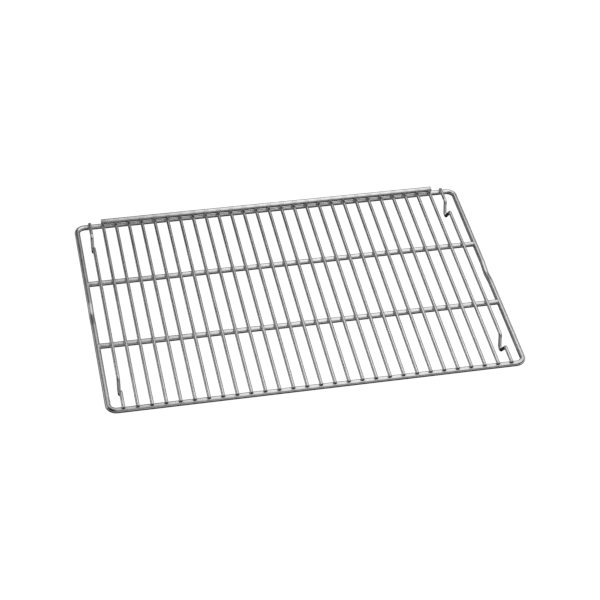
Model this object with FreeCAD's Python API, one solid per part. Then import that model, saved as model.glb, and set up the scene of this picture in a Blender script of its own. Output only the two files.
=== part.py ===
import FreeCAD, Part

import math
import os

# A welded wire cooling rack for a 600 x 400 mm bakery oven or trolley.
# Millimetres, +X along the width, +Y to the back, +Z up. The origin is on
# the table, under the centre of the rack.

# Wire stock
FRAME_WIRE = 8.0
ROD_WIRE = 5.0
RAIL_WIRE = 8.0

# Outer frame: one closed loop of wire
WIDTH = 600.0
DEPTH = 400.0
CORNER_RADIUS = 12.0
DIP_DEPTH = 3.0
DIP_LENGTH = 42.0
DIP_END_RADIUS = 50.0
DIP_BOTTOM_RADIUS = 40.0

# Bars and rods welded to it
CROSS_BAR_Y = 66.4
ROD_COUNT = 29
ROD_PITCH = 19.7
ROD_FRONT_Y = -199.0
ROD_REAR_Y = 197.0
RAIL_SET_FORWARD = 4.5
RAIL_ROD_COUNT = 27

# Feet: a V bent down in each end rod, steep behind and sloping in front
FOOT_DROP = 21.0
FOOT_BEND_RADIUS = 5.0
FOOT_STEEP_ANGLE = 13.0
FOOT_SLOPE_ANGLE = 36.5
FOOT_REAR_CORNERS = (-140.0, 166.0)

# Welds: each wire sinks a little into the next and a flash squeezes out
SET_DOWN = 0.4
FLASH_RADIUS = 2.7
FLASH_HALF_HEIGHT = 1.2
BUTT_FLASH_REACH = 2.6
BUTT_FLASH_RADIUS = 4.8

ROD_Z = FOOT_DROP + ROD_WIRE / 2
FRAME_Z = ROD_Z - ROD_WIRE / 2 - FRAME_WIRE / 2 + SET_DOWN
RAIL_Z = ROD_Z + ROD_WIRE / 2 + RAIL_WIRE / 2 - SET_DOWN
HALF_WIDTH = (WIDTH - FRAME_WIRE) / 2
HALF_DEPTH = (DEPTH - FRAME_WIRE) / 2
RAIL_Y = HALF_DEPTH - RAIL_SET_FORWARD

UP = FreeCAD.Vector(0, 0, 1)


def straight_wire(start, end, diameter):
    """A straight round wire, cut square at both ends."""
    run = end - start
    return Part.makeCylinder(diameter / 2, run.Length, start, run)


def bend(corner, before, after, radius, diameter):
    """The bend at a corner, with the two points where it meets the runs."""
    turn_in = (corner - before).normalize()
    turn_out = (after - corner).normalize()
    angle = turn_in.getAngle(turn_out)
    tangent_length = radius * math.tan(angle / 2)
    start = corner - turn_in * tangent_length
    end = corner + turn_out * tangent_length
    axis = turn_in.cross(turn_out).normalize()
    centre = start + axis.cross(turn_in) * radius
    circle = Part.Circle(start, turn_in, diameter / 2).toShape()
    section = Part.Face(Part.Wire([circle]))
    return section.revolve(centre, axis, math.degrees(angle)), start, end


def bent_wire(corners, radii, diameter, closed):
    """A round wire through corners, each turned with its own centre-line radius.

    An open wire starts at the first corner and ends at the last, which have no radius.
    """
    count = len(corners)
    turns = range(count) if closed else range(1, count - 1)
    pieces = []
    starts = {}
    ends = {}
    for i in turns:
        elbow, start, end = bend(corners[i], corners[i - 1], corners[(i + 1) % count], radii[i], diameter)
        pieces.append(elbow)
        starts[i] = start
        ends[i] = end
    if not closed:
        ends[0] = corners[0]
        starts[count - 1] = corners[-1]
    for i in ends:
        pieces.append(straight_wire(ends[i], starts[(i + 1) % count], diameter))
    return pieces[0].multiFuse(pieces[1:]).removeSplitter()


def frame_loop():
    """The outer frame: rounded corners and a shallow dip at the middle of each side."""
    bottom_angle = 2 * math.atan(DIP_DEPTH / (DIP_LENGTH / 2))
    rounding = DIP_BOTTOM_RADIUS * (1 / math.cos(bottom_angle / 2) - 1)
    dip_z = FRAME_Z - DIP_DEPTH - rounding
    corners = []
    radii = []
    for side in (1, -1):
        x = side * HALF_WIDTH
        corners.append(FreeCAD.Vector(x, -side * HALF_DEPTH, FRAME_Z))
        corners.append(FreeCAD.Vector(x, -side * DIP_LENGTH / 2, FRAME_Z))
        corners.append(FreeCAD.Vector(x, 0, dip_z))
        corners.append(FreeCAD.Vector(x, side * DIP_LENGTH / 2, FRAME_Z))
        corners.append(FreeCAD.Vector(x, side * HALF_DEPTH, FRAME_Z))
        radii += [CORNER_RADIUS, DIP_END_RADIUS, DIP_BOTTOM_RADIUS, DIP_END_RADIUS, CORNER_RADIUS]
    return bent_wire(corners, radii, FRAME_WIRE, True)


def foot_corners(x, rear_corner_y):
    """The three corners of one V foot, from the back of the rack to the front."""
    half_opening = math.radians(FOOT_STEEP_ANGLE + FOOT_SLOPE_ANGLE) / 2
    lean = math.radians(FOOT_SLOPE_ANGLE - FOOT_STEEP_ANGLE) / 2
    rounding = FOOT_BEND_RADIUS * (math.cos(lean) / math.sin(half_opening) - 1)
    drop = FOOT_DROP + rounding
    tip_y = rear_corner_y - drop * math.tan(math.radians(FOOT_STEEP_ANGLE))
    front_y = tip_y - drop * math.tan(math.radians(FOOT_SLOPE_ANGLE))
    return [
        FreeCAD.Vector(x, rear_corner_y, ROD_Z),
        FreeCAD.Vector(x, tip_y, ROD_Z - drop),
        FreeCAD.Vector(x, front_y, ROD_Z),
    ]


def end_rod(x):
    """A rod at the side of the rack, bent into a foot near each end."""
    corners = [FreeCAD.Vector(x, ROD_REAR_Y, ROD_Z)]
    for rear_corner_y in reversed(FOOT_REAR_CORNERS):
        corners += foot_corners(x, rear_corner_y)
    corners.append(FreeCAD.Vector(x, ROD_FRONT_Y, ROD_Z))
    return bent_wire(corners, [FOOT_BEND_RADIUS] * len(corners), ROD_WIRE, False)


def inner_rod(x):
    """A straight rod."""
    front = FreeCAD.Vector(x, ROD_FRONT_Y, ROD_Z)
    rear = FreeCAD.Vector(x, ROD_REAR_Y, ROD_Z)
    return straight_wire(front, rear, ROD_WIRE)


def along_x(half_length, y, z, diameter):
    """A straight wire across the rack, centred on its middle."""
    return straight_wire(FreeCAD.Vector(-half_length, y, z), FreeCAD.Vector(half_length, y, z), diameter)


def flash_lens(contact):
    """The lens of metal that a spot weld squeezes out around its contact."""
    ball_radius = (FLASH_RADIUS ** 2 + FLASH_HALF_HEIGHT ** 2) / (2 * FLASH_HALF_HEIGHT)
    offset = UP * (ball_radius - FLASH_HALF_HEIGHT)
    lower = Part.makeSphere(ball_radius, contact - offset)
    upper = Part.makeSphere(ball_radius, contact + offset)
    return lower.common(upper)


def spot_weld(y, z, wires):
    """One spot weld at the middle of the rack, cut back to the wires that it joins."""
    return flash_lens(FreeCAD.Vector(0, y, z)).cut(wires)


def repeated(shape, xs):
    """Copies of a shape along the width of the rack."""
    return [shape.translated(FreeCAD.Vector(x, 0, 0)) for x in xs]


def end_welds(side, wires):
    """The flash round the cross bars' ends at one side of the frame."""
    welds = []
    for y in (-CROSS_BAR_Y, CROSS_BAR_Y):
        centre = FreeCAD.Vector(side * (HALF_WIDTH - FRAME_WIRE / 2), y, FRAME_Z)
        ball = Part.makeSphere(BUTT_FLASH_RADIUS, centre)
        reach = Part.makeBox(2 * BUTT_FLASH_REACH, 4 * FRAME_WIRE, 4 * FRAME_WIRE)
        reach.translate(centre - FreeCAD.Vector(BUTT_FLASH_REACH, 2 * FRAME_WIRE, 2 * FRAME_WIRE))
        welds.append(ball.common(reach).cut(wires))
    return Part.makeCompound(welds)


def build():
    """Every sub-part by its node name."""
    rod_xs = [ROD_PITCH * (i - (ROD_COUNT - 1) / 2) for i in range(ROD_COUNT)]
    rail_xs = [ROD_PITCH * (i - (RAIL_ROD_COUNT - 1) / 2) for i in range(RAIL_ROD_COUNT)]
    frame = frame_loop()
    cross_bars = {}
    for name, y in (("cross_bar_front", -CROSS_BAR_Y), ("cross_bar_rear", CROSS_BAR_Y)):
        cross_bars[name] = along_x(HALF_WIDTH, y, FRAME_Z, FRAME_WIRE).cut(frame)
    rail_half_length = rail_xs[-1] + ROD_WIRE / 2
    rail = along_x(rail_half_length, RAIL_Y, RAIL_Z, RAIL_WIRE)

    bars = [frame] + list(cross_bars.values())
    middle_rod = inner_rod(0).cut(bars + [rail])

    nodes = {"perimeter_frame": frame, "rear_stop_rail": rail}
    nodes.update(cross_bars)
    nodes["rod_01"] = end_rod(rod_xs[0]).cut(bars)
    nodes[f"rod_{ROD_COUNT}"] = end_rod(rod_xs[-1]).cut(bars)
    for i, rod in enumerate(repeated(middle_rod, rod_xs[1:-1])):
        nodes[f"rod_{i + 2:02d}"] = rod

    bar_top = FRAME_Z + FRAME_WIRE / 2
    rail_bottom = RAIL_Z - RAIL_WIRE / 2
    weld_rows = (
        ("front_bar_welds", -HALF_DEPTH, bar_top, frame, rod_xs),
        ("cross_bar_front_welds", -CROSS_BAR_Y, bar_top, cross_bars["cross_bar_front"], rod_xs),
        ("cross_bar_rear_welds", CROSS_BAR_Y, bar_top, cross_bars["cross_bar_rear"], rod_xs),
        ("rear_bar_welds", HALF_DEPTH, bar_top, frame, rod_xs),
        ("stop_rail_welds", RAIL_Y, rail_bottom, rail, rail_xs),
    )
    for name, y, z, bar, xs in weld_rows:
        nodes[name] = Part.makeCompound(repeated(spot_weld(y, z, [middle_rod, bar]), xs))
    nodes["left_side_welds"] = end_welds(-1, bars)
    nodes["right_side_welds"] = end_welds(1, bars)
    return nodes


os.makedirs("parts", exist_ok=True)
for name, shape in build().items():
    shape.exportStep(f"parts/{name}.step")
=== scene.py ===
import math

import bmesh
import bpy
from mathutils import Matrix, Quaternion, Vector


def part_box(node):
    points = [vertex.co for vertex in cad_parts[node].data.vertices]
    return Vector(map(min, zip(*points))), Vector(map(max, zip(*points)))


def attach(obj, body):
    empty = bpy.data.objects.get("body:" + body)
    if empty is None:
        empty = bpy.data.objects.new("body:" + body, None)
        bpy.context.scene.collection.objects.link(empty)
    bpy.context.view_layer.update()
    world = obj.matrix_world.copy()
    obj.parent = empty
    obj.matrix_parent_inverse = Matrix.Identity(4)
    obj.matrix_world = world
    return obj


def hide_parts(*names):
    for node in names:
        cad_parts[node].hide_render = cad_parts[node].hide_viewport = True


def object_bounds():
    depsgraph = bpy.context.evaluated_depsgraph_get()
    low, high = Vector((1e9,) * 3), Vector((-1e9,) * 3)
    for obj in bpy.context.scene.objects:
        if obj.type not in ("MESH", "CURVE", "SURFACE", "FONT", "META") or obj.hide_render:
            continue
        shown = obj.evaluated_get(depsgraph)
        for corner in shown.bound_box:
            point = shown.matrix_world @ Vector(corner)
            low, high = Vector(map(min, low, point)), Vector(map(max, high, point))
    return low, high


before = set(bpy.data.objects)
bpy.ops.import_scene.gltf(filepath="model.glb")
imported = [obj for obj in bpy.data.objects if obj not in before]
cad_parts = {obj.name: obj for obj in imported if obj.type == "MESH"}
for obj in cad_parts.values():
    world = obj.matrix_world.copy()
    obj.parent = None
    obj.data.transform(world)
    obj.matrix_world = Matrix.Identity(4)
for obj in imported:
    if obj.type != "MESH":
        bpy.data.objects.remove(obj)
cad_low, cad_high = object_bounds()

# ---------------------------------------------------------------------------
# Sizes, in metres. What the frame holds is read from it. The bends and the
# welds are named here, because a box doesn't give a radius or an angle.
# ---------------------------------------------------------------------------
CORNER_RADIUS = 0.012
DIP_DEPTH = 0.003
DIP_LENGTH = 0.042
DIP_END_RADIUS = 0.050
DIP_BOTTOM_RADIUS = 0.040
FOOT_BEND_RADIUS = 0.005
FOOT_STEEP_ANGLE = math.radians(13.0)
FOOT_SLOPE_ANGLE = math.radians(36.5)
FOOT_REAR_CORNERS = (-0.140, 0.166)
END_ROUNDING = 0.0006

# A spot weld fills the gap between two wires out to where it is this high
WELD_GAP = 0.0008
WELD_EMBED = 0.0001
WELD_EDGE_MARGIN = 0.0001
# Its waist reaches at most this share of its edge, and its inner wall this share of its waist
WELD_WAIST = 0.8
WELD_HOLLOW = 0.7
JOINT_FILLET = 0.0019
JOINT_SINK = 0.0008

# How finely the curves are divided
BEND_STEP = math.radians(5)
RUN_STEP = 0.012
WIRE_SIDES = 40
END_STEPS = 5
WELD_TURNS = 40
FILLET_STEPS = 5
GAP_SEARCH_STEPS = 30
MIN_BEND_STEPS = 4
LEAST_SINE = 0.001


def box_centre(node):
    low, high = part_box(node)
    return (low + high) / 2


def box_size(node):
    low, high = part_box(node)
    return high - low


rod_names = sorted(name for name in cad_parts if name.startswith("rod_"))
end_rods = (rod_names[0], rod_names[-1])
inner_rods = rod_names[1:-1]
cross_bars = ("cross_bar_front", "cross_bar_rear")
frame_wire = box_size("cross_bar_front").z
rail_wire = box_size("rear_stop_rail").z
rod_wire = box_size(inner_rods[0]).x
frame_z = box_centre("cross_bar_front").z
rod_z = box_centre(inner_rods[0]).z
rail_z = box_centre("rear_stop_rail").z
rail_y = box_centre("rear_stop_rail").y
rod_front_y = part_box(inner_rods[0])[0].y
rod_rear_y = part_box(inner_rods[0])[1].y
half_width = box_size("perimeter_frame").x / 2 - frame_wire / 2
half_depth = box_size("perimeter_frame").y / 2 - frame_wire / 2
cross_y = box_centre("cross_bar_rear").y
rod_xs = [box_centre(name).x for name in inner_rods]
rod_pitch = rod_xs[1] - rod_xs[0]
end_rod_xs = [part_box(end_rods[0])[0].x + rod_wire / 2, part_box(end_rods[1])[1].x - rod_wire / 2]
all_rod_xs = [end_rod_xs[0]] + rod_xs + [end_rod_xs[1]]


# ---------------------------------------------------------------------------
# Mesh helpers
# ---------------------------------------------------------------------------
def finished_object(name, mesh):
    """An object from a bmesh, with its faces turned to one side."""
    bmesh.ops.recalc_face_normals(mesh, faces=mesh.faces)
    data = bpy.data.meshes.new(name)
    mesh.to_mesh(data)
    mesh.free()
    made = bpy.data.objects.new(name, data)
    bpy.context.scene.collection.objects.link(made)
    return made


def bridged(mesh, near, far):
    """Smooth quads between two rings of vertices."""
    count = len(near)
    faces = []
    for k in range(count):
        following = (k + 1) % count
        face = mesh.faces.new((near[k], near[following], far[following], far[k]))
        face.smooth = True
        faces.append(face)
    return faces


# ---------------------------------------------------------------------------
# Wires: centre lines, and the round section swept along them
# ---------------------------------------------------------------------------
def straight_points(start, end):
    """Points along a straight run, without its first one."""
    steps = max(1, round((end - start).length / RUN_STEP))
    return [start.lerp(end, (i + 1) / steps) for i in range(steps)]


def bend_points(corner, before, after, radius):
    """Points round a bend of the given centre-line radius."""
    turn_in = (corner - before).normalized()
    turn_out = (after - corner).normalized()
    angle = turn_in.angle(turn_out)
    start = corner - turn_in * radius * math.tan(angle / 2)
    axis = turn_in.cross(turn_out).normalized()
    centre = start + axis.cross(turn_in) * radius
    steps = max(MIN_BEND_STEPS, math.ceil(angle / BEND_STEP))
    return [centre + Quaternion(axis, angle * i / steps) @ (start - centre) for i in range(steps + 1)]


def rounded_path(corners, radii, closed):
    """The centre line of a wire through corners, with a tangent arc at each turn."""
    count = len(corners)
    path = [] if closed else [corners[0]]
    for i in range(count) if closed else range(1, count - 1):
        arc = bend_points(corners[i], corners[i - 1], corners[(i + 1) % count], radii[i])
        if path:
            path += straight_points(path[-1], arc[0])
            path += arc[1:]
        else:
            path += arc
    if closed:
        path += straight_points(path[-1], path[0])[:-1]
    else:
        path += straight_points(path[-1], corners[-1])
    return path


def tangents_along(path, closed):
    """The direction of a centre line at each of its points."""
    count = len(path)
    tangents = []
    for i, point in enumerate(path):
        before = path[i - 1] if closed or i > 0 else point
        after = path[(i + 1) % count] if closed or i < count - 1 else point
        tangents.append((after - before).normalized())
    return tangents


def end_profile(diameter):
    """Insets and radii of the rings that round the edge of a cut end, from its middle out."""
    profile = [(0, diameter / 6), (0, diameter / 3)]
    for i in range(END_STEPS + 1):
        angle = math.pi / 2 * (1 - i / END_STEPS)
        radius = diameter / 2 - END_ROUNDING * (1 - math.cos(angle))
        profile.append((END_ROUNDING * (1 - math.sin(angle)), radius))
    return profile


def wire_stations(path, diameter, closed):
    """Where the section is placed along a wire: point, direction and radius."""
    tangents = tangents_along(path, closed)
    stations = [(point, tangent, diameter / 2) for point, tangent in zip(path, tangents)]
    if closed:
        return stations
    profile = end_profile(diameter)
    start, along = path[0], tangents[0]
    first = [(start + along * inset, along, radius) for inset, radius in profile]
    end, back = path[-1], tangents[-1]
    last = [(end - back * inset, back, radius) for inset, radius in reversed(profile)]
    return first + stations[1:-1] + last


def section_ring(mesh, point, side, other, radius):
    """One ring of vertices round a wire, starting at its underside."""
    ring = []
    for k in range(WIRE_SIDES):
        angle = 2 * math.pi * k / WIRE_SIDES
        ring.append(mesh.verts.new(point + (side * math.cos(angle) + other * math.sin(angle)) * radius))
    return ring


def set_wire_uv(faces, layer, start, end, diameter):
    """Length along the wire and distance round it, in metres."""
    step = math.pi * diameter / WIRE_SIDES
    for k, face in enumerate(faces):
        corners = ((start, k * step), (start, (k + 1) * step), (end, (k + 1) * step), (end, k * step))
        for loop, corner in zip(face.loops, corners):
            loop[layer].uv = corner


def wire(name, path, diameter, closed=False):
    """A round wire along a centre line."""
    stations = wire_stations(path, diameter, closed)
    mesh = bmesh.new()
    layer = mesh.loops.layers.uv.new("wire_uv")
    previous = stations[0][1]
    side = Vector((0, 0, -1))
    rings = []
    for point, tangent, radius in stations:
        side = previous.rotation_difference(tangent) @ side
        side = (side - tangent * side.dot(tangent)).normalized()
        rings.append(section_ring(mesh, point, side, tangent.cross(side), radius))
        previous = tangent
    length = 0
    for i in range(len(rings) if closed else len(rings) - 1):
        following = (i + 1) % len(rings)
        step = (stations[following][0] - stations[i][0]).length
        faces = bridged(mesh, rings[i], rings[following])
        set_wire_uv(faces, layer, length, length + step, diameter)
        length += step
    if not closed:
        mesh.faces.new(rings[0])
        mesh.faces.new(rings[-1])
    return finished_object(name, mesh)


def straight_path(start, end):
    """The centre line of a straight wire."""
    return [start] + straight_points(start, end)


def frame_path():
    """The outer frame's centre line, with the dips at the middle of its sides."""
    slope = math.atan(DIP_DEPTH / (DIP_LENGTH / 2))
    dip_z = frame_z - DIP_DEPTH - DIP_BOTTOM_RADIUS * (1 / math.cos(slope) - 1)
    corners = []
    radii = []
    for side in (1, -1):
        x = side * half_width
        corners.append(Vector((x, -side * half_depth, frame_z)))
        corners.append(Vector((x, -side * DIP_LENGTH / 2, frame_z)))
        corners.append(Vector((x, 0, dip_z)))
        corners.append(Vector((x, side * DIP_LENGTH / 2, frame_z)))
        corners.append(Vector((x, side * half_depth, frame_z)))
        radii += [CORNER_RADIUS, DIP_END_RADIUS, DIP_BOTTOM_RADIUS, DIP_END_RADIUS, CORNER_RADIUS]
    return rounded_path(corners, radii, True)


def foot_corners(x, rear_corner_y):
    """The three corners of one V foot, from the back of the rack to the front."""
    half_opening = (FOOT_STEEP_ANGLE + FOOT_SLOPE_ANGLE) / 2
    lean = (FOOT_SLOPE_ANGLE - FOOT_STEEP_ANGLE) / 2
    rounding = FOOT_BEND_RADIUS * (math.cos(lean) / math.sin(half_opening) - 1)
    drop = rod_z - rod_wire / 2 + rounding
    tip_y = rear_corner_y - drop * math.tan(FOOT_STEEP_ANGLE)
    front_y = tip_y - drop * math.tan(FOOT_SLOPE_ANGLE)
    return [Vector((x, rear_corner_y, rod_z)), Vector((x, tip_y, rod_z - drop)), Vector((x, front_y, rod_z))]


def end_rod_path(x):
    """The centre line of a rod at the side of the rack, with its two feet."""
    corners = [Vector((x, rod_rear_y, rod_z))]
    for rear_corner_y in reversed(FOOT_REAR_CORNERS):
        corners += foot_corners(x, rear_corner_y)
    corners.append(Vector((x, rod_front_y, rod_z)))
    return rounded_path(corners, [FOOT_BEND_RADIUS] * len(corners), False)


def inner_rod_path(x):
    """The centre line of a straight rod."""
    return straight_path(Vector((x, rod_rear_y, rod_z)), Vector((x, rod_front_y, rod_z)))


def bar_path(node):
    """The centre line of a straight bar along the rack's width."""
    low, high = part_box(node)
    centre = box_centre(node)
    return straight_path(Vector((low.x, centre.y, centre.z)), Vector((high.x, centre.y, centre.z)))


# ---------------------------------------------------------------------------
# Welds
# ---------------------------------------------------------------------------
def gap_at(reach, turn, bar_radius, separation):
    """The gap between a bar and the rod that crosses it, at a distance from their contact."""
    on_bar = math.sqrt(max(0, bar_radius**2 - (reach * math.sin(turn)) ** 2))
    on_rod = math.sqrt(max(0, (rod_wire / 2) ** 2 - (reach * math.cos(turn)) ** 2))
    return separation - on_bar - on_rod


def reach_of_gap(gap, turn, bar_radius, separation):
    """How far from the contact the gap has opened to a given height."""
    low = 0
    high = bar_radius
    for _ in range(GAP_SEARCH_STEPS):
        middle = (low + high) / 2
        if gap_at(middle, turn, bar_radius, separation) < gap:
            low = middle
        else:
            high = middle
    return low


def weld_section(turn, bar_radius, separation, to_rear, to_front):
    """Reach and height of one section of the metal that fills the gap round a contact.

    The height is measured from the bar's axis toward the rod. The metal stops short of the rod's ends.
    """
    end = to_rear if math.sin(turn) > 0 else to_front
    limit = end / max(abs(math.sin(turn)), LEAST_SINE) - WELD_EDGE_MARGIN
    outer = min(reach_of_gap(WELD_GAP, turn, bar_radius, separation), limit)
    waist = min(reach_of_gap(0, turn, bar_radius, separation), outer * WELD_WAIST)
    on_bar = math.sqrt(bar_radius**2 - (outer * math.sin(turn)) ** 2)
    gap = gap_at(outer, turn, bar_radius, separation)
    middle = on_bar + gap / 2
    half = max(gap / 2, 0) + WELD_EMBED
    section = [(waist * WELD_HOLLOW, separation - rod_wire / 2)]
    for i in range(FILLET_STEPS + 1):
        t = i / FILLET_STEPS
        pull = 2 * t * (1 - t)
        section.append((outer - pull * (outer - waist), middle + half * (1 - 2 * t)))
    return section


def add_spot_weld(mesh, contact, toward_rod, bar_radius, separation):
    """The closed ring of metal round one contact between a bar and a rod."""
    to_rear = rod_rear_y - contact.y
    to_front = contact.y - rod_front_y
    rings = []
    for k in range(WELD_TURNS):
        turn = 2 * math.pi * k / WELD_TURNS
        out = Vector((math.cos(turn), math.sin(turn), 0))
        ring = []
        for reach, height in weld_section(turn, bar_radius, separation, to_rear, to_front):
            point = contact + out * reach
            point.z += toward_rod * height
            ring.append(mesh.verts.new(point))
        rings.append(ring)
    for k in range(WELD_TURNS):
        bridged(mesh, rings[k], rings[(k + 1) % WELD_TURNS])


def spot_weld_row(name, y, z, bar_wire, xs):
    """The spot welds of every rod on one bar."""
    mesh = bmesh.new()
    toward_rod = 1 if rod_z > z else -1
    for x in xs:
        add_spot_weld(mesh, Vector((x, y, z)), toward_rod, bar_wire / 2, abs(rod_z - z))
    return finished_object(name, mesh)


def add_joint_fillet(mesh, side, y):
    """The fillet round a cross bar's end, along the seam that it makes on the side wire."""
    radius = frame_wire / 2 - WELD_EMBED
    centre = Vector((side * half_width, y, frame_z))
    rings = []
    for k in range(WELD_TURNS):
        turn = 2 * math.pi * k / WELD_TURNS
        across = math.sin(turn)
        seam = centre + Vector((-side * radius * abs(across), radius * across, radius * math.cos(turn)))
        on_bar = seam + Vector((-side * (JOINT_FILLET * abs(across) + JOINT_SINK), 0, 0))
        on_side = seam + Vector((0, JOINT_FILLET * across, 0))
        inside = centre + (seam - centre) * (1 - JOINT_SINK / radius)
        ring = [mesh.verts.new(inside)]
        for i in range(FILLET_STEPS + 1):
            t = i / FILLET_STEPS
            point = on_bar * (1 - t) ** 2 + seam * 2 * t * (1 - t) + on_side * t**2
            ring.append(mesh.verts.new(point))
        rings.append(ring)
    for k in range(WELD_TURNS):
        bridged(mesh, rings[k], rings[(k + 1) % WELD_TURNS])


def joint_fillets(name, side):
    """The fillets of both cross bars at one side of the frame."""
    mesh = bmesh.new()
    for y in (-cross_y, cross_y):
        add_joint_fillet(mesh, side, y)
    return finished_object(name, mesh)


# ---------------------------------------------------------------------------
# Materials. Noise scales are in features a metre.
# ---------------------------------------------------------------------------
LINES_ALONG = 25
LINES_ROUND = 1800
CLOUD_SCALE = 45.0
GRAIN_SCALE = 2600.0
RIPPLE_SCALE = 900.0
STAIN_SCALE = 220.0

# The middle range that most noise values fall in
NOISE_LOW = 0.3
NOISE_HIGH = 0.7

# How far along a wire the painted shade and the dullness at a weld reach: full, then none
NEAR_WELD_FULL = 0.002
NEAR_WELD_GONE = 0.006

# Wire: two tones and what mixes them, roughness, and the depth of the lines in metres
WIRE_DARK = (0.50, 0.50, 0.505, 1)
WIRE_LIGHT = (0.68, 0.68, 0.685, 1)
LINES_TONE = (0.3, 0.7)
CLOUDS_TONE = (-0.2, 0.2)
# Painted shade: how much darker the wire's tone is painted next to each weld
WELD_SHADE_TONE = 0.35
LINES_ROUGHNESS = (0.21, 0.31)
CLOUDS_ROUGHNESS = (-0.03, 0.03)
NEAR_WELD_ROUGHNESS = 0.06
GRAIN_SHARE = 0.5
WIRE_BUMP = 0.00002
WIRE_BUMP_STRENGTH = 0.25

# Weld metal, painted darker than the wire as shade where rods and bars meet
WELD_SHADED_DARK = (0.36, 0.36, 0.365, 1)
WELD_SHADED_LIGHT = (0.56, 0.56, 0.565, 1)
WELD_ROUGHNESS = (0.28, 0.44)
WELD_BUMP = 0.00006
WELD_BUMP_STRENGTH = 0.4


def add_node(tree, kind, inputs, **settings):
    """A shader node with its settings and inputs, each a value or another node's output."""
    made = tree.nodes.new(kind)
    for key, value in settings.items():
        setattr(made, key, value)
    for socket, value in inputs.items():
        if isinstance(value, bpy.types.NodeSocket):
            tree.links.new(value, made.inputs[socket])
        else:
            made.inputs[socket].default_value = value
    return made


def calculate(tree, operation, first, second=0.0):
    return add_node(tree, "ShaderNodeMath", {0: first, 1: second}, operation=operation).outputs[0]


def rescale(tree, value, limits):
    """A noise value, spread from its middle range to the range between two limits."""
    low, high = limits
    inputs = {"Value": value, "From Min": NOISE_LOW, "From Max": NOISE_HIGH, "To Min": low, "To Max": high}
    return add_node(tree, "ShaderNodeMapRange", inputs).outputs["Result"]


def noise(tree, vector, scale, detail):
    inputs = {"Vector": vector, "Scale": scale, "Detail": detail}
    return add_node(tree, "ShaderNodeTexNoise", inputs).outputs["Fac"]


def blended_colour(tree, share, dark, light):
    """Dark where share is 0, light where it is 1. Sockets 6, 7 and output 2 are the node's colours."""
    return add_node(tree, "ShaderNodeMix", {0: share, 6: dark, 7: light}, data_type="RGBA").outputs[2]


def bumped(tree, height, depth, strength):
    """The surface's normal, tilted by a height that runs from 0 to 1 over the given depth."""
    inputs = {"Strength": strength, "Distance": depth, "Height": height}
    return add_node(tree, "ShaderNodeBump", inputs).outputs["Normal"]


def drawn_lines(tree):
    """Fine lines along the wire, left by the die that it was drawn through."""
    uv = add_node(tree, "ShaderNodeUVMap", {}, uv_map="wire_uv").outputs["UV"]
    inputs = {"Vector": uv, "Scale": (LINES_ALONG, LINES_ROUND, 1)}
    stretched = add_node(tree, "ShaderNodeMapping", inputs).outputs["Vector"]
    return noise(tree, stretched, 1.0, 4.0)


def distance_to_crossing(tree, position, along_rods):
    """How far a point on a wire is from the nearest weld, along that wire."""
    axes = add_node(tree, "ShaderNodeSeparateXYZ", {"Vector": position}).outputs
    if not along_rods:
        return calculate(tree, "PINGPONG", axes["X"], rod_pitch / 2)
    depth = calculate(tree, "ABSOLUTE", axes["Y"])
    to_cross_bar = calculate(tree, "ABSOLUTE", calculate(tree, "SUBTRACT", depth, cross_y))
    to_edge = calculate(tree, "ABSOLUTE", calculate(tree, "SUBTRACT", depth, half_depth))
    return calculate(tree, "MINIMUM", to_cross_bar, to_edge)


def weld_shade_and_dullness_mask(tree, position, along_rods):
    """1 on a wire at its welds, fading to 0 a few millimetres along it: where shade is painted on the wire
    and it is duller.
    """
    distance = distance_to_crossing(tree, position, along_rods)
    inputs = {"Value": distance, "From Min": NEAR_WELD_FULL, "From Max": NEAR_WELD_GONE, "To Min": 1.0, "To Max": 0.0}
    return add_node(tree, "ShaderNodeMapRange", inputs, interpolation_type="SMOOTHSTEP").outputs["Result"]


def wire_steel(name, along_rods):
    """Drawn and electropolished wire, painted a little darker round its welds as shade where rods and bars
    meet, and duller there.
    """
    material = bpy.data.materials.new(name)
    material.use_nodes = True
    tree = material.node_tree
    shader = tree.nodes["Principled BSDF"]
    shader.inputs["Metallic"].default_value = 1.0
    position = add_node(tree, "ShaderNodeTexCoord", {}).outputs["Object"]
    lines = drawn_lines(tree)
    clouds = noise(tree, position, CLOUD_SCALE, 3.0)
    grain = noise(tree, position, GRAIN_SCALE, 2.0)
    weld_shade_and_dullness = weld_shade_and_dullness_mask(tree, position, along_rods)
    tone = calculate(tree, "ADD", rescale(tree, lines, LINES_TONE), rescale(tree, clouds, CLOUDS_TONE))
    # Painted shade: the tone is darkened next to each weld, where rod and bar meet
    tone = calculate(tree, "SUBTRACT", tone, calculate(tree, "MULTIPLY", weld_shade_and_dullness, WELD_SHADE_TONE))
    tree.links.new(blended_colour(tree, tone, WIRE_DARK, WIRE_LIGHT), shader.inputs["Base Color"])
    from_lines = rescale(tree, lines, LINES_ROUGHNESS)
    roughness = calculate(tree, "ADD", from_lines, rescale(tree, clouds, CLOUDS_ROUGHNESS))
    roughness = calculate(tree, "ADD", roughness, calculate(tree, "MULTIPLY", weld_shade_and_dullness, NEAR_WELD_ROUGHNESS))
    tree.links.new(roughness, shader.inputs["Roughness"])
    height = calculate(tree, "ADD", lines, calculate(tree, "MULTIPLY", grain, GRAIN_SHARE))
    tree.links.new(bumped(tree, height, WIRE_BUMP, WIRE_BUMP_STRENGTH), shader.inputs["Normal"])
    return material


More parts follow.
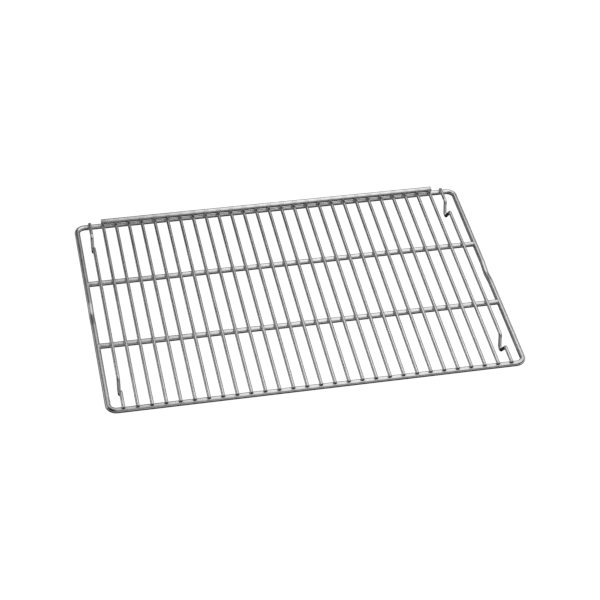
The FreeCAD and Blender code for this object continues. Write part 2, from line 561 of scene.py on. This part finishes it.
def shaded_weld_steel(name):
    """The welds' metal, painted darker than the wire as shade where rods and bars meet, with the faint
    ripple of a melt under the polish.
    """
    material = bpy.data.materials.new(name)
    material.use_nodes = True
    tree = material.node_tree
    shader = tree.nodes["Principled BSDF"]
    shader.inputs["Metallic"].default_value = 1.0
    position = add_node(tree, "ShaderNodeTexCoord", {}).outputs["Object"]
    ripple = noise(tree, position, RIPPLE_SCALE, 3.0)
    stain = noise(tree, position, STAIN_SCALE, 2.0)
    tone = rescale(tree, stain, (0.0, 1.0))
    # Painted shade: both weld colours are darker than the wire's; the noise only varies the tone between
    # them
    tree.links.new(blended_colour(tree, tone, WELD_SHADED_DARK, WELD_SHADED_LIGHT), shader.inputs["Base Color"])
    tree.links.new(rescale(tree, ripple, WELD_ROUGHNESS), shader.inputs["Roughness"])
    tree.links.new(bumped(tree, ripple, WELD_BUMP, WELD_BUMP_STRENGTH), shader.inputs["Normal"])
    return material


# ---------------------------------------------------------------------------
# The rack: one new piece for each node of the frame
# ---------------------------------------------------------------------------
def place(piece, node, material):
    """Puts a new piece in the place of its CAD node."""
    piece.data.materials.append(material)
    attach(piece, "root")
    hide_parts(node)


def build_bars(material):
    loop = wire("perimeter_frame_wire", frame_path(), frame_wire, closed=True)
    place(loop, "perimeter_frame", material)
    for node in cross_bars + ("rear_stop_rail",):
        place(wire(node + "_wire", bar_path(node), box_size(node).z), node, material)


def build_rods(material):
    for node, x in zip(end_rods, end_rod_xs):
        place(wire(node + "_wire", end_rod_path(x), rod_wire), node, material)
    for node, x in zip(inner_rods, rod_xs):
        place(wire(node + "_wire", inner_rod_path(x), rod_wire), node, material)


def build_welds(material):
    rows = (
        ("front_bar_welds", -half_depth, frame_z, frame_wire, all_rod_xs),
        ("cross_bar_front_welds", -cross_y, frame_z, frame_wire, all_rod_xs),
        ("cross_bar_rear_welds", cross_y, frame_z, frame_wire, all_rod_xs),
        ("rear_bar_welds", half_depth, frame_z, frame_wire, all_rod_xs),
        ("stop_rail_welds", rail_y, rail_z, rail_wire, rod_xs),
    )
    for node, y, z, bar_wire, xs in rows:
        place(spot_weld_row(node + "_metal", y, z, bar_wire, xs), node, material)
    for node, side in (("left_side_welds", -1), ("right_side_welds", 1)):
        place(joint_fillets(node + "_metal", side), node, material)


build_bars(wire_steel("bar_steel", along_rods=False))
build_rods(wire_steel("rod_steel", along_rods=True))
build_welds(shaded_weld_steel("shaded_weld_steel"))


# ---------------------------------------------------------------------------
# Studio: a pale floor under a pale dome, soft panels round the rack, camera
# ---------------------------------------------------------------------------
STAGE_RADIUS = 12.0
STAGE_SIDES = 96
DOME_RINGS = 24

# Where the soft panels stand, in metres from the origin
OVERHEAD_HEIGHT = 1.6
PANEL_DISTANCE = 2.8
SIDE_PANEL_Y = 1.4
STANDING_HEIGHT = 0.8
STANDING_SIZE = 1.6
LOW_HEIGHT = -0.7
LOW_SIZE = 1.4


def pale_material(name):
    """A plain pale surface, lit from within so that it stays even."""
    material = bpy.data.materials.new(name)
    material.use_nodes = True
    shader = material.node_tree.nodes["Principled BSDF"]
    shader.inputs["Base Color"].default_value = (0.1, 0.1, 0.1, 1)
    shader.inputs["Roughness"].default_value = 1.0
    shader.inputs["Specular IOR Level"].default_value = 0.0
    shader.inputs["Emission Color"].default_value = (1, 1, 1, 1)
    shader.inputs["Emission Strength"].default_value = 1.0
    return material


def stage_surface(name, mesh):
    """Part of the background: seen by the camera, but not mirrored in the metal."""
    surface = finished_object(name, mesh)
    surface.data.materials.append(pale_material(name))
    surface.visible_glossy = False
    surface.visible_diffuse = False
    surface.visible_shadow = False


def build_floor():
    """A round floor at the height of the feet."""
    mesh = bmesh.new()
    bmesh.ops.create_circle(mesh, cap_ends=True, segments=STAGE_SIDES, radius=STAGE_RADIUS)
    bmesh.ops.translate(mesh, verts=mesh.verts, vec=(0, 0, cad_low.z))
    stage_surface("floor", mesh)


def build_dome():
    """A dome from the edge of the floor, so that every view has the same pale background."""
    mesh = bmesh.new()
    rings = []
    for i in range(DOME_RINGS):
        rise = math.pi / 2 * i / DOME_RINGS
        ring = []
        for k in range(STAGE_SIDES):
            turn = 2 * math.pi * k / STAGE_SIDES
            flat = math.cos(rise) * STAGE_RADIUS
            point = Vector((flat * math.cos(turn), flat * math.sin(turn), math.sin(rise) * STAGE_RADIUS))
            ring.append(mesh.verts.new(point))
        rings.append(ring)
    for near, far in zip(rings, rings[1:]):
        bridged(mesh, near, far)
    mesh.faces.new(rings[-1])
    stage_surface("dome", mesh)


def soft_panel(name, centre, aim, width, height, radiance):
    """A rectangular soft light, which the camera doesn't see."""
    light = bpy.data.lights.new(name, "AREA")
    light.shape = "RECTANGLE"
    light.size = width
    light.size_y = height
    light.energy = radiance * width * height * math.pi
    panel = bpy.data.objects.new(name, light)
    panel.location = centre
    panel.rotation_mode = "QUATERNION"
    panel.rotation_quaternion = (Vector(aim) - Vector(centre)).to_track_quat("-Z", "Y")
    panel.visible_camera = False
    bpy.context.scene.collection.objects.link(panel)


def overhead_panel(name, x, y, width, depth, radiance):
    """A panel that lies flat above the rack."""
    soft_panel(name, (x, y, OVERHEAD_HEIGHT), (x, y, 0), width, depth, radiance)


def side_panel(name, side, radiance):
    """A panel that stands behind the middle of the rack, at its left or right."""
    distance = side * PANEL_DISTANCE
    centre = (distance, SIDE_PANEL_Y, STANDING_HEIGHT)
    aim = (0, SIDE_PANEL_Y, STANDING_HEIGHT)
    soft_panel(name, centre, aim, PANEL_DISTANCE, STANDING_SIZE, radiance)


def low_panel(name, toward_x, toward_y, radiance):
    """A panel below the level of the rack, the full width of one side of the studio."""
    centre = (toward_x * PANEL_DISTANCE, toward_y * PANEL_DISTANCE, LOW_HEIGHT)
    soft_panel(name, centre, (0, 0, LOW_HEIGHT), 2 * PANEL_DISTANCE, LOW_SIZE, radiance)


def build_lights():
    """A tent of soft panels round the rack, brightest overhead."""
    overhead_panel("overhead_right", 0.35, 0, 0.7, 2.8, 1.40)
    overhead_panel("overhead_far_right", 1.75, 0, 2.1, 2.8, 1.05)
    overhead_panel("overhead_left", -0.35, -0.35, 0.7, 2.1, 0.65)
    overhead_panel("overhead_rear_left", -0.7, 1.05, 1.4, 0.7, 1.20)
    overhead_panel("overhead_front", 0.7, -2.1, 1.4, 1.4, 1.30)
    soft_panel("rear_key", (0.4, 0.8, STANDING_HEIGHT), (0.1, 0, 0), 0.9, 0.6, 0.95)
    front = (0.3, -PANEL_DISTANCE, STANDING_HEIGHT)
    soft_panel("front_fill", front, (0.3, 0, STANDING_HEIGHT), 1.2, STANDING_SIZE, 0.30)
    side_panel("right_wall", 1, 0.60)
    side_panel("left_wall", -1, 1.05)
    rear = (0, PANEL_DISTANCE, STANDING_HEIGHT)
    soft_panel("rear_wall", rear, (0, 0, STANDING_HEIGHT), 2 * PANEL_DISTANCE, STANDING_SIZE, 0.10)
    low_panel("low_front", 0, -1, 0.55)
    low_panel("low_right", 1, 0, 1.00)
    low_panel("low_rear", 0, 1, 0.45)
    low_panel("low_left", -1, 0, 0.35)


def build_world():
    """A trace of light from everywhere else."""
    world = bpy.data.worlds.new("studio")
    world.use_nodes = True
    world.node_tree.nodes["Background"].inputs["Color"].default_value = (0.02, 0.02, 0.02, 1)
    bpy.context.scene.world = world


CAMERA_AZIMUTH = math.radians(-13.63)
CAMERA_ELEVATION = math.radians(42.18)
CAMERA_ROLL = math.radians(3.0)
CAMERA_DISTANCE = 2.6495
CAMERA_AIM = Vector((0.0056, -0.0225, rod_z))
FOCAL_LENGTH = 109.0


def build_camera():
    """A long lens, looking down at the front edge from the left."""
    data = bpy.data.cameras.new("camera")
    data.sensor_width = 36
    data.lens = FOCAL_LENGTH
    camera = bpy.data.objects.new("camera", data)
    toward_camera = (math.sin(CAMERA_AZIMUTH), -math.cos(CAMERA_AZIMUTH), math.tan(CAMERA_ELEVATION))
    back = Vector(toward_camera).normalized()
    camera.location = CAMERA_AIM + back * CAMERA_DISTANCE
    camera.rotation_mode = "QUATERNION"
    camera.rotation_quaternion = (-back).to_track_quat("-Z", "Y") @ Quaternion((0, 0, 1), CAMERA_ROLL)
    bpy.context.scene.collection.objects.link(camera)
    bpy.context.scene.camera = camera


build_floor()
build_dome()
build_lights()
build_world()
build_camera()
bpy.context.scene.view_settings.view_transform = "Standard"
